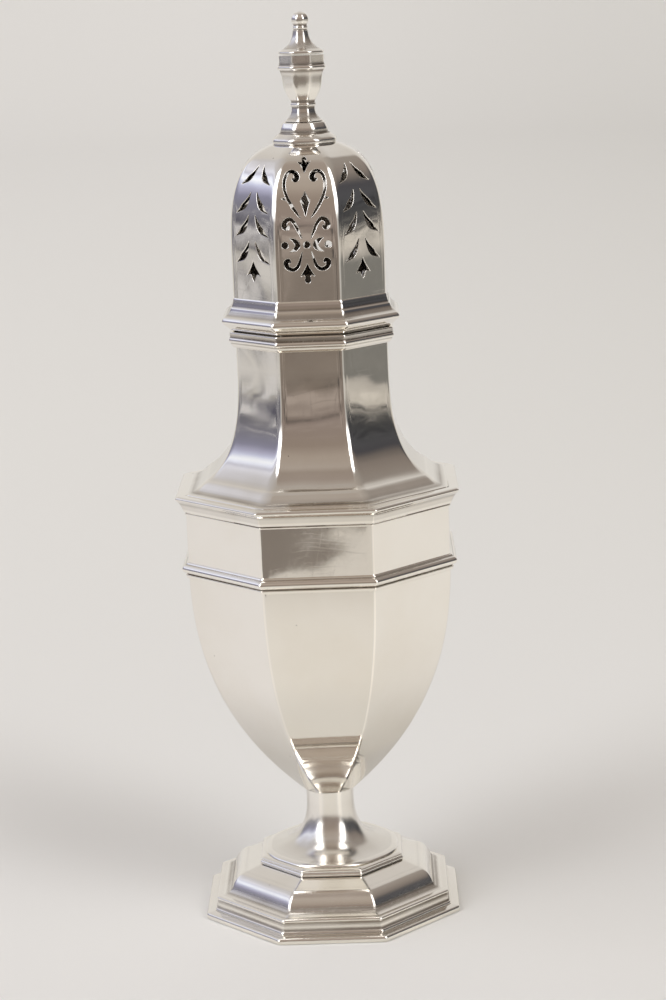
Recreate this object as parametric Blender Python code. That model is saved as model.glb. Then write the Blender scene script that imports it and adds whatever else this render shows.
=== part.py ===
"""Octagonal silver sugar caster with a pull-off pierced cover.

Run with: blender --background --python part.py
Lengths below are millimetres. The objects are built in metres, +Z up, standing on z = 0 with
the middle of one facet towards -Y. The cover's objects hang from the empty "cover_axis".
"""
import math

import bmesh
import bpy
from mathutils import Matrix, Vector

# Driving dimensions.
SIDES = 8                   # every section is a regular octagon
GAP = 0.3                   # between pieces that touch, so that they stay separate solids
SHEET = 0.9                 # raised sheet of the body
DOME_SHEET = 0.95           # sheet of the pierced dome
BEZEL_SHEET = 0.7
BEZEL_PLAY = 0.27           # between the bezel and the neck, corner to corner

# Corner radii of the sections and heights, from the table upwards.
FOOT_R = 29.45
FOOT_WIRE_R = 25.2          # inside of the two wires under the foot
RIM_TOP = 1.3
BAND_TOP = 4.5
SLOPE_TOP = 10.1
STEP_R = 16.6
STEP_TOP = 11.5
STEM_R = 5.5
STEM_TOP = 25.1
BODY_R = 29.5               # bowl and frieze wall where they meet
BOWL_FOOT_R = 5.9
BOWL_SEAM = 77.0            # seam between the bowl and the frieze, behind the girdle
GIRDLE_FOOT = 75.3
GIRDLE_R = 31.0
SHOULDER_FOOT = 89.0
SHOULDER_TOP = 93.0
SHOULDER_R = 31.8
NECK_R = 16.9
MOUTH = 126.2
COLLAR_FOOT = 122.9
COLLAR_R = 18.4
COVER_RIM_R = 19.8
COVER_RIM_TOP = 133.1
BEZEL_FOOT = 117.5
BEZEL_TOP = 134.6
DOME_R = 17.0
DOME_SPRING = 140.0         # height where the dome starts to curve in
DOME_TOP = 163.55           # flat crown that carries the finial
DOME_RISE = 23.9            # from the spring to the top of the full curve
DOME_POWER = 3.2            # of the superellipse that the dome follows
CROWN_R = 7.4
PIN_R = 1.25
PIN_HOLE_R = 1.6
PLINTH_TOP = 167.9
URN_TOP = 181.3
HEIGHT = 190.0

MM = 0.001
HALF_STEP = math.pi / SIDES
TO_FLAT = math.cos(HALF_STEP)   # corner radius to the distance of a flat from the axis


def clear_scene():
    for item in list(bpy.data.objects):
        bpy.data.objects.remove(item)


def bezier(start, pull, push, end, steps):
    """Points of a cubic curve from start to end, both ends included."""
    points = []
    for step in range(steps + 1):
        t = step / steps
        weights = ((1 - t) ** 3, 3 * t * (1 - t) ** 2, 3 * t * t * (1 - t), t ** 3)
        corners = (start, pull, push, end)
        points.append(tuple(sum(w * p[i] for w, p in zip(weights, corners)) for i in (0, 1)))
    return points


def inward(points, thickness):
    """The same outline moved towards the axis by a sheet's thickness, square to the facets."""
    moved = []
    for index, (radius, height) in enumerate(points):
        before = points[max(index - 1, 0)]
        after = points[min(index + 1, len(points) - 1)]
        run = (after[0] - before[0]) * TO_FLAT
        rise = after[1] - before[1]
        length = math.hypot(run, rise)
        shift_r = -rise / length * thickness / TO_FLAT
        shift_z = run / length * thickness
        moved.append((max(radius + shift_r, 0.0), height + shift_z))
    return moved


def at_height(point, height):
    """A copy of a profile point with its height set."""
    return (point[0], height)


def silver(name, roughness):
    """Polished sterling silver, slightly warm."""
    material = bpy.data.materials.new(name + "_silver")
    material.use_nodes = True
    shader = material.node_tree.nodes["Principled BSDF"]
    shader.inputs["Base Color"].default_value = (0.83, 0.81, 0.77, 1.0)
    shader.inputs["Metallic"].default_value = 1.0
    shader.inputs["Roughness"].default_value = roughness
    return material


def add_object(name, mesh_data, roughness):
    mesh = bpy.data.meshes.new(name)
    mesh_data.to_mesh(mesh)
    mesh_data.free()
    mesh.materials.append(silver(name, roughness))
    item = bpy.data.objects.new(name, mesh)
    bpy.context.collection.objects.link(item)
    return item


def octagonal(name, profile, closed=True, roughness=0.12):
    """Spin a profile of (corner radius, height) points into an eight-sided solid.

    A closed profile makes a ring. An open one starts and ends on the axis.
    """
    mesh_data = bmesh.new()
    verts = []
    for radius, height in profile:
        place = Vector((radius * math.cos(HALF_STEP), radius * math.sin(HALF_STEP), height)) * MM
        verts.append(mesh_data.verts.new(place))
    edges = [mesh_data.edges.new(pair) for pair in zip(verts, verts[1:])]
    if closed:
        edges.append(mesh_data.edges.new((verts[-1], verts[0])))
    bmesh.ops.spin(mesh_data, geom=verts + edges, axis=(0, 0, 1), cent=(0, 0, 0),
                   steps=SIDES, angle=2 * math.pi, use_merge=True)
    bmesh.ops.remove_doubles(mesh_data, verts=mesh_data.verts[:], dist=1e-6)
    bmesh.ops.recalc_face_normals(mesh_data, faces=mesh_data.faces[:])
    return add_object(name, mesh_data, roughness)


def sheet_ring(outer, thickness):
    """Closed profile of a raised sheet from the outline of its outside."""
    return outer + list(reversed(inward(outer, thickness)))


# Foot and stem

def foot():
    octagonal("foot_rim", [
        (FOOT_WIRE_R, 0.0), (FOOT_R, 0.0), (FOOT_R - 0.1, 0.6), (FOOT_R - 0.6, RIM_TOP),
        (FOOT_WIRE_R, RIM_TOP)])
    foot_z = RIM_TOP + GAP
    octagonal("foot_band", [
        (FOOT_WIRE_R, foot_z), (27.4, foot_z), (27.3, 2.1), (26.5, 2.7), (26.3, 3.3),
        (26.5, 3.8), (26.9, 4.0), (26.8, BAND_TOP), (FOOT_WIRE_R, BAND_TOP)])
    slope_foot = BAND_TOP + GAP
    slope = [(26.6, slope_foot + 0.1), (24.2, 5.4)]
    slope += bezier((23.6, 5.8), (23.0, 7.2), (21.9, 8.9), (20.2, 9.2), 4)
    slope += [(16.9, SLOPE_TOP - 0.1), (13.6, SLOPE_TOP)]
    under = inward(slope, SHEET)
    under[0] = (FOOT_WIRE_R, slope_foot)
    octagonal("foot_slope", [(26.6, slope_foot)] + slope + list(reversed(under)))
    octagonal("foot_step", [
        (13.6, SLOPE_TOP + GAP), (STEP_R, SLOPE_TOP + GAP), (STEP_R, 10.9),
        (STEP_R - 0.3, STEP_TOP), (13.6, STEP_TOP)])


def stem():
    flange = STEP_TOP + GAP
    outer = [(16.2, flange)] + bezier((16.0, 12.1), (8.6, 12.6), (STEM_R, 16.5), (STEM_R, 22.5), 9)
    outer.append((STEM_R, STEM_TOP))
    inner_r = STEM_R - SHEET / TO_FLAT
    inner = bezier((13.4, flange), (7.4, 12.3), (inner_r, 16.3), (inner_r, 22.5), 7)
    inner.append((inner_r, STEM_TOP))
    octagonal("stem", outer + list(reversed(inner)))


# Body

def bowl():
    foot_z = STEM_TOP + GAP
    outer = bezier((BOWL_FOOT_R, foot_z), (18.0, 36.5), (29.0, 51.0), (BODY_R, GIRDLE_FOOT), 14)
    outer.append((BODY_R, BOWL_SEAM - GAP / 2))
    inner = inward(outer, SHEET)
    inner[0] = (4.4, foot_z)
    inner[-1] = at_height(inner[-1], BOWL_SEAM - GAP / 2)
    octagonal("bowl_shell", outer + list(reversed(inner)))
    octagonal("bowl_floor", [(0.0, 26.7), (5.1, 26.7), (6.0, 27.6), (0.0, 27.6)],
              closed=False, roughness=0.2)


def body_wall():
    frieze_top = SHOULDER_TOP - SHEET - GAP
    frieze = [(BODY_R, BOWL_SEAM + GAP / 2), (BODY_R, frieze_top)]
    octagonal("frieze_wall", sheet_ring(frieze, SHEET))
    seat = BODY_R + GAP + 0.05
    octagonal("girdle_moulding", [
        (seat, GIRDLE_FOOT), (30.05, GIRDLE_FOOT), (30.15, 76.3), (30.4, 76.9),
        (GIRDLE_R, 77.4), (GIRDLE_R, 78.0), (30.4, 78.4), (30.1, 78.9), (seat, 78.9)])
    octagonal("shoulder_moulding", [
        (seat, SHOULDER_FOOT), (30.2, SHOULDER_FOOT), (30.15, 89.7), (30.1, 90.6),
        (30.4, 91.4), (31.0, 92.0), (SHOULDER_R, 92.4), (SHOULDER_R, 92.75),
        (SHOULDER_R - 0.3, SHOULDER_TOP), (seat, SHOULDER_TOP)])


def neck():
    shelf = [(BODY_R, SHOULDER_TOP), (27.9, SHOULDER_TOP + 0.1), (27.4, SHOULDER_TOP + 0.45)]
    flare = bezier((25.1, 95.4), (19.6, 98.6), (NECK_R + 0.1, 104.0), (NECK_R, 118.0), 10)
    outer = shelf + flare + [(NECK_R, MOUTH)]
    inner = inward(outer, SHEET)
    inner[0] = (BODY_R, SHOULDER_TOP - SHEET)
    inner[-1] = at_height(inner[-1], MOUTH)
    octagonal("neck_shell", outer + list(reversed(inner)))
    seat = NECK_R + GAP + 0.05
    octagonal("neck_collar", [
        (seat, COLLAR_FOOT), (17.5, COLLAR_FOOT), (17.9, 123.4), (18.1, 123.9),
        (COLLAR_R, 124.2), (COLLAR_R, 124.7), (18.2, 125.1), (18.2, MOUTH), (seat, MOUTH)])


# Cover

def cover_base():
    bezel_r = NECK_R - SHEET / TO_FLAT - BEZEL_PLAY
    bezel = [(bezel_r - 0.3, BEZEL_FOOT), (bezel_r, BEZEL_FOOT + 0.8), (bezel_r, BEZEL_TOP)]
    inner_r = bezel_r - BEZEL_SHEET / TO_FLAT
    parts = [octagonal("cover_bezel", bezel + [(inner_r, BEZEL_TOP), (inner_r, BEZEL_FOOT)],
                       roughness=0.2)]
    seat = bezel_r + GAP + 0.05
    rim_foot = MOUTH + GAP
    parts.append(octagonal("cover_rim", [
        (seat, rim_foot), (18.1, rim_foot), (18.5, 127.1), (19.2, 127.8), (COVER_RIM_R, 128.3),
        (COVER_RIM_R, 128.8), (19.3, 129.2), (18.5, 129.7), (18.0, 130.3), (17.7, 131.0),
        (17.35, 131.4), (17.1, 132.8), (16.9, COVER_RIM_TOP), (seat, COVER_RIM_TOP)]))
    return parts


def dome_radius(height):
    """Corner radius of the dome's outside."""
    rise = max(height - DOME_SPRING, 0.0) / DOME_RISE
    return DOME_R * (1 - rise ** DOME_POWER) ** (1 / DOME_POWER)


def dome_shell():
    outer = [(DOME_R, COVER_RIM_TOP + GAP), (DOME_R, DOME_SPRING)]
    for height in (144.5, 148.5, 152.0, 155.0, 157.5, 159.6, 161.3, 162.6):
        outer.append((dome_radius(height), height))
    outer.append((CROWN_R, DOME_TOP))
    inner = inward(outer, DOME_SHEET)
    inner[-1] = (CROWN_R - 0.6, DOME_TOP - DOME_SHEET)
    crown = [(PIN_HOLE_R, DOME_TOP), (PIN_HOLE_R, DOME_TOP - DOME_SHEET)]
    return octagonal("pierced_dome", outer + crown + list(reversed(inner)))


def mirrored(half):
    """Whole outline from its right half, which runs from the top of the middle line down."""
    left = [(-x, z) for x, z in reversed(half) if x > 0]
    return half + left


def stroke(path):
    """Outline of a pierced line whose half width changes: points are (x, z, half width)."""
    right, left = [], []
    for index, (x, z, half_width) in enumerate(path):
        before = path[max(index - 1, 0)]
        after = path[min(index + 1, len(path) - 1)]
        along = Vector((after[0] - before[0], after[1] - before[1])).normalized()
        right.append((x + along.y * half_width, z - along.x * half_width))
        left.append((x - along.y * half_width, z + along.x * half_width))
    return right + list(reversed(left))


def dot(x, z, radius, corners=8):
    turn = 2 * math.pi / corners
    return [(x + radius * math.cos(turn * i), z + radius * math.sin(turn * i))
            for i in range(corners)]


def flipped(outline):
    return [(-x, z) for x, z in reversed(outline)]


# Each hole's path or outline is drawn on its panel: x from the middle line, z the height.
FLEUR = [(0.0, 161.65), (0.42, 161.4), (0.5, 161.0), (0.3, 160.7), (1.26, 160.75),
         (0.7, 160.05), (0.4, 159.5), (0.0, 158.7)]
LYRE = [(2.4, 157.5, 0.15), (1.85, 157.25, 0.4), (1.5, 157.85, 0.5), (1.85, 158.65, 0.42),
        (2.7, 158.95, 0.33), (3.55, 158.4, 0.28), (4.05, 157.1, 0.26), (4.05, 155.5, 0.25),
        (3.6, 154.0, 0.25), (3.0, 152.8, 0.27), (2.1, 151.3, 0.25), (1.1, 149.85, 0.06)]
BARB = [(4.1, 153.95), (4.75, 153.75), (3.95, 153.35)]
DIAMOND = [(0.0, 154.95), (0.9, 153.35), (0.0, 150.2)]
MIDDLE_SCROLL = [(3.4, 148.3, 0.12), (3.8, 147.8, 0.38), (4.35, 148.25, 0.48),
                 (4.1, 149.2, 0.42), (3.2, 149.65, 0.36), (2.35, 148.9, 0.3),
                 (1.65, 147.5, 0.26), (0.95, 145.8, 0.06)]
CRESCENT = [(3.3, 145.8, 0.05), (2.4, 145.35, 0.34), (1.8, 144.45, 0.5), (2.4, 143.55, 0.34),
            (3.3, 143.1, 0.05)]
BOTTOM_SCROLL = [(3.4, 140.9, 0.12), (3.75, 141.4, 0.38), (4.3, 140.95, 0.46),
                 (3.9, 139.95, 0.4), (2.9, 139.5, 0.36), (1.95, 140.1, 0.3),
                 (1.4, 141.4, 0.22), (0.95, 143.0, 0.06)]
SCROLL_SPADE = [(0.0, 140.55), (0.55, 139.6), (1.37, 138.2), (0.7, 138.35), (0.42, 138.05),
                (0.62, 137.5), (0.35, 136.9), (0.0, 136.8)]
LEAF_SPADE = [(0.0, 140.95), (0.6, 139.9), (1.95, 138.1), (0.75, 138.45), (0.45, 137.4),
              (0.0, 136.95)]
# A leaf from its tip by the stem to its outer tip, measured from the tip by the stem.
LEAF = [(0.0, 0.0, 0.06), (0.5, -1.2, 0.34), (1.2, -2.3, 0.6), (2.0, -3.1, 0.66),
        (2.9, -3.75, 0.3), (3.9, -4.3, 0.05)]
LEAF_TIPS = [(0.95, 144.9, 1.0), (0.95, 150.2, 0.98), (0.9, 154.75, 0.95), (0.75, 160.0, 0.85)]


def scroll_panel():
    """Outlines of the holes in a scroll panel."""
    pairs = [stroke(LYRE), BARB, stroke(MIDDLE_SCROLL), stroke(CRESCENT),
             dot(4.35, 144.45, 0.7), stroke(BOTTOM_SCROLL)]
    middle = [mirrored(FLEUR), mirrored(DIAMOND), dot(0.0, 144.45, 0.7),
              mirrored(SCROLL_SPADE)]
    return middle + pairs + [flipped(outline) for outline in pairs]


def leaf_panel():
    """Outlines of the holes in a leaf panel: four pairs of leaves over a spade."""
    leaves = []
    for x, z, size in LEAF_TIPS:
        leaves.append(stroke([(x + u * size, z + v * size, w * size) for u, v, w in LEAF]))
    return [mirrored(LEAF_SPADE)] + leaves + [flipped(outline) for outline in leaves]


def piercing_tools():
    """One object that holds a straight cutter for every hole, square to its own panel."""
    mesh_data = bmesh.new()
    reach_in = 3.0 * MM
    reach_out = 18.0 * MM
    for panel in range(SIDES):
        outlines = leaf_panel() if panel % 2 else scroll_panel()
        turn = Matrix.Rotation(panel * 2 * HALF_STEP, 4, "Z")
        for outline in outlines:
            verts = []
            for x, z in outline:
                verts.append(mesh_data.verts.new(turn @ Vector((x * MM, -reach_in, z * MM))))
            face = mesh_data.faces.new(verts)
            swept = bmesh.ops.extrude_face_region(mesh_data, geom=[face])
            moved = [part for part in swept["geom"] if isinstance(part, bmesh.types.BMVert)]
            away = turn.to_3x3() @ Vector((0, reach_in - reach_out, 0))
            bmesh.ops.translate(mesh_data, verts=moved, vec=away)
    bmesh.ops.recalc_face_normals(mesh_data, faces=mesh_data.faces[:])
    tools = add_object("piercing_tools", mesh_data, 0.5)
    tools.hide_render = True
    tools.display_type = "WIRE"
    return tools


def pierced_dome():
    dome = dome_shell()
    cut = dome.modifiers.new("piercing", "BOOLEAN")
    cut.operation = "DIFFERENCE"
    cut.solver = "EXACT"
    cut.object = piercing_tools()
    return dome


def finial():
    foot_z = DOME_TOP + GAP
    head_top = DOME_TOP - DOME_SHEET - GAP
    pin = octagonal("finial_pin", [
        (0.0, head_top - 0.9), (1.8, head_top - 0.9), (2.3, head_top - 0.4), (2.3, head_top),
        (PIN_R, head_top), (PIN_R, 166.8), (0.0, 166.8)], closed=False, roughness=0.2)
    plinth = octagonal("finial_plinth", [
        (0.0, 167.1), (PIN_HOLE_R, 167.1), (PIN_HOLE_R, foot_z), (6.9, foot_z), (6.75, 164.3),
        (6.2, 165.0), (5.9, 165.6), (5.15, 165.75), (5.1, 166.3), (4.75, PLINTH_TOP - 0.2),
        (4.3, PLINTH_TOP), (0.0, PLINTH_TOP)], closed=False)
    urn_foot = PLINTH_TOP + GAP
    urn = octagonal("finial_urn", [
        (0.0, urn_foot), (3.7, urn_foot), (2.95, 169.1), (2.6, 170.2), (2.5, 170.9),
        (2.75, 171.3), (2.75, 171.6), (2.5, 171.9), (2.9, 172.5), (3.45, 173.4),
        (3.95, 174.4), (4.25, 175.6), (4.5, 177.4), (4.85, 178.4), (5.3, 178.75),
        (5.3, 179.1), (5.0, 179.35), (5.0, URN_TOP), (0.0, URN_TOP)], closed=False)
    lid_foot = URN_TOP + GAP
    lid = [(0.0, lid_foot), (5.0, lid_foot), (5.0, 182.1), (4.6, 182.35)]
    lid += bezier((3.8, 182.7), (2.4, 183.5), (1.75, 184.8), (1.7, 186.2), 4)
    lid += [(1.45, 186.4), (1.7, 186.8), (1.4, 187.3), (1.7, 188.0), (1.75, 188.7),
            (1.35, 189.5), (0.7, 189.9), (0.0, HEIGHT)]
    return [pin, plinth, urn, octagonal("finial_lid", lid, closed=False)]


def main():
    clear_scene()
    foot()
    stem()
    bowl()
    body_wall()
    neck()
    axis = bpy.data.objects.new("cover_axis", None)
    bpy.context.collection.objects.link(axis)
    for part in cover_base() + [pierced_dome()] + finial():
        part.parent = axis


main()
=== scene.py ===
import math

import bmesh
import bpy
import numpy as np
from mathutils import Matrix, Vector, geometry, noise


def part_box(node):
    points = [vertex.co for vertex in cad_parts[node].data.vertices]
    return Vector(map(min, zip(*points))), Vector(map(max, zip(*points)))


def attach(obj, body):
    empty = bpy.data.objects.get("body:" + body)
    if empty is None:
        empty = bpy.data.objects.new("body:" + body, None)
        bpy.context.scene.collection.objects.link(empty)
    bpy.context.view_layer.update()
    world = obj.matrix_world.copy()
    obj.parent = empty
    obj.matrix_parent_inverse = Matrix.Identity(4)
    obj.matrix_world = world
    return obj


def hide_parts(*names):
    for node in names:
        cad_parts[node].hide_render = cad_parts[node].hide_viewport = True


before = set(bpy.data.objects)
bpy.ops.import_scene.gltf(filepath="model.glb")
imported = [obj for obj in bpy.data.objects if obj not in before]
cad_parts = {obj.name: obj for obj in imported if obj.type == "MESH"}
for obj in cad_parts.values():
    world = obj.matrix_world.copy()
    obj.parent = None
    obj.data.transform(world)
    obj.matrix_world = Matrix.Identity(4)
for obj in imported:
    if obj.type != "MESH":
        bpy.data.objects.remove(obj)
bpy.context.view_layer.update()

# Lengths are millimetres until a mesh is made. Sections are points of (corner radius, height),
# where the corner radius is that of the sharp octagon before its arrises are rounded.
MM = 0.001
SIDES = 8
HALF_STEP = math.pi / SIDES
TO_FLAT = math.cos(HALF_STEP)
TAN_HALF = math.tan(HALF_STEP)

SHEET = 0.9
DOME_SHEET = 0.95


def span(node):
    """Lowest height, highest height and corner radius of a CAD node."""
    low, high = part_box(node)
    return low.z / MM, high.z / MM, high.x / MM / TO_FLAT


# Camera, as the object was photographed: a little above it, turned and rolled slightly.

CAMERA_DISTANCE = 0.5001
CAMERA_HEIGHT = 0.1987
CAMERA_TURN = 1.4
CAMERA_PAN = 0.35
CAMERA_PITCH = 12.42
CAMERA_ROLL = 2.16
FOCAL_HEIGHTS = 2.4226      # focal length as a share of the picture's height


def make_camera():
    data = bpy.data.cameras.new("camera")
    data.lens = data.sensor_width * FOCAL_HEIGHTS
    data.clip_start = 0.01
    data.clip_end = 20.0
    camera = bpy.data.objects.new("camera", data)
    turn = Matrix.Rotation(math.radians(CAMERA_TURN), 4, "Z")
    camera.location = turn @ Vector((0, -CAMERA_DISTANCE, CAMERA_HEIGHT))
    heading = Matrix.Rotation(math.radians(CAMERA_TURN - CAMERA_PAN), 4, "Z")
    tilt = Matrix.Rotation(math.radians(90 - CAMERA_PITCH), 4, "X")
    roll = Matrix.Rotation(math.radians(-CAMERA_ROLL), 4, "Z")
    camera.rotation_mode = "QUATERNION"
    camera.rotation_quaternion = (heading @ tilt @ roll).to_quaternion()
    bpy.context.scene.collection.objects.link(camera)
    bpy.context.scene.camera = camera


# Node trees

class Nodes:
    """Short calls for building a node tree."""

    def __init__(self, tree):
        self.tree = tree
        tree.nodes.clear()

    def add(self, kind, inputs=(), **settings):
        node = self.tree.nodes.new(kind)
        for key, value in settings.items():
            setattr(node, key, value)
        for key, value in dict(inputs).items():
            self.put(node.inputs[key], value)
        return node

    def put(self, socket, value):
        """Link or set a socket. A colour is given without its alpha."""
        if isinstance(value, bpy.types.NodeSocket):
            self.tree.links.new(value, socket)
        else:
            socket.default_value = (*value, 1.0) if socket.type == "RGBA" else value

    def math(self, operation, *values):
        return self.add("ShaderNodeMath", enumerate(values), operation=operation).outputs[0]

    def times(self, *values):
        return self.math("MULTIPLY", *values)

    def ramp(self, value, low, high, to_low=0.0, to_high=1.0):
        """Smooth step of value from low to high."""
        node = self.add("ShaderNodeMapRange", {
            "Value": value, "From Min": low, "From Max": high, "To Min": to_low,
            "To Max": to_high}, interpolation_type="SMOOTHSTEP")
        return node.outputs["Result"]

    def band(self, value, middle, width, soft):
        """One within a band of this width about the middle, none outside it."""
        off = self.math("ABSOLUTE", self.math("SUBTRACT", value, middle))
        return self.ramp(off, width / 2 + soft, width / 2 - soft)

    def mix(self, share, first, second):
        node = self.add("ShaderNodeMix", data_type="RGBA")
        self.put(node.inputs[0], share)
        self.put(node.inputs[6], first)
        self.put(node.inputs[7], second)
        return node.outputs[2]

    def noise(self, where, scale, detail=2.0, roughness=0.5, distortion=0.0):
        node = self.add("ShaderNodeTexNoise", {
            "Vector": where, "Scale": scale, "Detail": detail, "Roughness": roughness,
            "Distortion": distortion})
        return node.outputs["Fac"]

    def split(self, vector):
        return self.add("ShaderNodeSeparateXYZ", {0: vector}).outputs

    def azimuth(self, x, y):
        """Direction on the horizon in degrees: 0 towards the camera's side, 90 to its right."""
        return self.math("DEGREES", self.math("ARCTAN2", x, self.times(y, -1.0)))

    def show(self, kind, shader):
        """Output node of this kind, fed by a shader."""
        self.tree.links.new(shader.outputs[0], self.add(kind).inputs["Surface"])


def new_material(name):
    """Material with an empty tree, and the object coordinates in it."""
    material = bpy.data.materials.new(name)
    material.use_nodes = True
    nodes = Nodes(material.node_tree)
    return material, nodes, nodes.add("ShaderNodeTexCoord").outputs["Object"]


# World: what the silver mirrors, as stops of (elevation, colour) on each side of the room. The
# colours are given as they look in the silver.

SILVER = (0.96, 0.935, 0.885)

TOWARD_CAMERA = [(-15, (134, 123, 112)), (-6, (122, 110, 99)), (6, (141, 126, 116)),
                 (20, (144, 129, 116)), (34, (166, 152, 138)), (50, (172, 159, 146)),
                 (60, (154, 140, 127)), (75, (156, 142, 130)), (90, (172, 161, 149))]
LEFT = [(-15, (208, 203, 198)), (-8, (200, 194, 186)), (-7.2, (172, 166, 156)),
        (-5.8, (132, 128, 128)), (-4, (114, 111, 115)), (-1, (118, 115, 118)),
        (6, (122, 120, 130)), (14, (136, 134, 150)), (19, (172, 170, 190)),
        (23, (206, 208, 228)), (26, (252, 253, 255)), (28.5, (238, 240, 252)),
        (32, (200, 198, 208)), (37, (226, 224, 230)), (43, (195, 190, 188)),
        (90, (172, 162, 151))]
RIGHT = [(-15, (170, 162, 151)), (-10, (124, 120, 112)), (-7.7, (116, 113, 106)),
         (-7.1, (172, 164, 153)), (-5, (194, 185, 172)), (-2, (186, 177, 164)),
         (0, (112, 108, 102)), (5, (72, 71, 70)), (13, (78, 77, 78)), (20, (74, 72, 74)),
         (25, (108, 100, 94)), (31, (132, 121, 112)), (40, (142, 131, 121)),
         (50, (150, 141, 131)), (90, (172, 161, 149))]
AWAY = [(-15, (214, 208, 198)), (-4, (212, 206, 196)), (8, (222, 216, 206)),
        (40, (206, 199, 190)), (90, (172, 161, 149))]

# Each side over the one before: stops, middle azimuth, width and soft edge, all in degrees.
SIDES_OF_ROOM = ((RIGHT, 92, 84, 9), (LEFT, -92, 84, 9), (TOWARD_CAMERA, -1, 84, 8))
# Bright panels: middle and size as (azimuth, elevation), colour and level.
CARDS = (((-50, 36), (26, 52), (255, 253, 250), 4.0), ((49, 36), (24, 48), (255, 252, 248), 3.6))
CARD_SOFT = 7
# Degrees by which what is in the room strays from straight, sideways and up and down.
SIDEWAYS_DRIFT = 16.0
UPWARD_DRIFT = 9.0


def linear(value):
    value /= 255
    return value / 12.92 if value <= 0.04045 else ((value + 0.055) / 1.055) ** 2.4


def seen(colour, level=1.0):
    """Light that looks this colour, in sRGB, when the silver mirrors it."""
    return tuple(level * linear(c) / s for c, s in zip(colour, SILVER))


def studio():
    world = bpy.data.worlds.new("studio")
    bpy.context.scene.world = world
    world.use_nodes = True
    nodes = Nodes(world.node_tree)
    toward = nodes.add("ShaderNodeTexCoord").outputs["Generated"]
    x, y, z = nodes.split(toward)

    def strayed(angle, scale, drift):
        """The angle, off by up to half the drift from place to place."""
        off = nodes.math("SUBTRACT", nodes.noise(toward, scale), 0.5)
        return nodes.math("MULTIPLY_ADD", off, drift, angle)

    elevation = nodes.math("DEGREES", nodes.math("ARCSINE", z))
    azimuth = strayed(nodes.azimuth(x, y), 5.1, SIDEWAYS_DRIFT)
    wavy = strayed(elevation, 3.2, UPWARD_DRIFT)

    def layers(stops):
        """Colours one above another, from (elevation, colour)."""
        ramp = nodes.add("ShaderNodeValToRGB", {
            "Fac": nodes.math("MULTIPLY_ADD", wavy, 1 / 180, 0.5)})
        elements = ramp.color_ramp.elements
        for index, (height, colour) in enumerate(stops):
            place = height / 180 + 0.5
            stop = elements[index] if index < 2 else elements.new(place)
            stop.position = place
            stop.color = (*seen(colour), 1.0)
        return ramp.outputs["Color"]

    def panel(at, size, soft):
        """One within a soft-edged panel at (azimuth, elevation), none outside it."""
        return nodes.times(nodes.band(azimuth, at[0], size[0], soft),
                           nodes.band(elevation, at[1], size[1], soft))

    sky = layers(AWAY)
    for stops, middle, width, soft in SIDES_OF_ROOM:
        sky = nodes.mix(nodes.band(azimuth, middle, width, soft), sky, layers(stops))
    for at, size, colour, level in CARDS:
        sky = nodes.mix(panel(at, size, CARD_SOFT), sky, seen(colour, level))

    # Irregular patches, where a pattern passes from one level to another. A flat face mirrors a
    # narrow strip of the room, so the things at the sides are narrow.
    narrow = nodes.add("ShaderNodeCombineXYZ", {
        0: nodes.times(azimuth, 1.1), 1: nodes.times(elevation, 0.17)})
    things = nodes.noise(narrow.outputs[0], 1.0)
    mottle = nodes.noise(toward, 12.0, detail=3.0)
    for pattern, none, full, at, size, soft, colour in (
            (things, 0.46, 0.44, (-92, -3), (60, 10), 2, (84, 82, 92)),
            (things, 0.55, 0.57, (-92, -1), (60, 16), 3, (206, 201, 198)),
            (things, 0.575, 0.595, (92, -2), (60, 8), 1.5, (208, 199, 185)),
            (things, 0.49, 0.47, (92, 4), (60, 16), 3, (60, 59, 60)),
            (mottle, 0.52, 0.66, (-1, 0), (60, 22), 7, (164, 150, 138)),
            (mottle, 0.47, 0.36, (-1, -4), (60, 18), 6, (84, 77, 72))):
        share = nodes.times(nodes.ramp(pattern, none, full), panel(at, size, soft))
        sky = nodes.mix(share, sky, seen(colour))
    nodes.show("ShaderNodeOutputWorld", nodes.add("ShaderNodeBackground", {"Color": sky}))


# Floor

# Painted light and shade on the mirrored paper round the object, for the bowl's facets and arrises
# to mirror: middle azimuth, width and tone.
# The narrow light ones at -45 and 45 degrees are painted light that shows as highlights on the
# arrises.
PAPER_SECTORS = ((0, 56, (0.775, 0.755, 0.70)), (-90, 56, (0.79, 0.78, 0.762)),
                 (-45, 26, (0.85, 0.83, 0.79)), (90, 56, (0.82, 0.805, 0.76)),
                 (45, 26, (0.96, 0.94, 0.88)))
SECTOR_SOFT = 6.0


def camera_tones(nodes, where, colour):
    """Paper that the camera sees: lighter far behind the object, with painted shade there on the
    right.
    """
    x, y, _ = nodes.split(where)
    far = nodes.ramp(y, -0.3, 0.6)
    colour = nodes.mix(far, colour, (0.78, 0.773, 0.74))
    # Painted shade: far off on the right the paper is darkened as if less lit.
    right = nodes.times(far, nodes.ramp(x, -0.25, 0.45))
    return nodes.mix(right, colour, (0.70, 0.693, 0.655))


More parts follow.
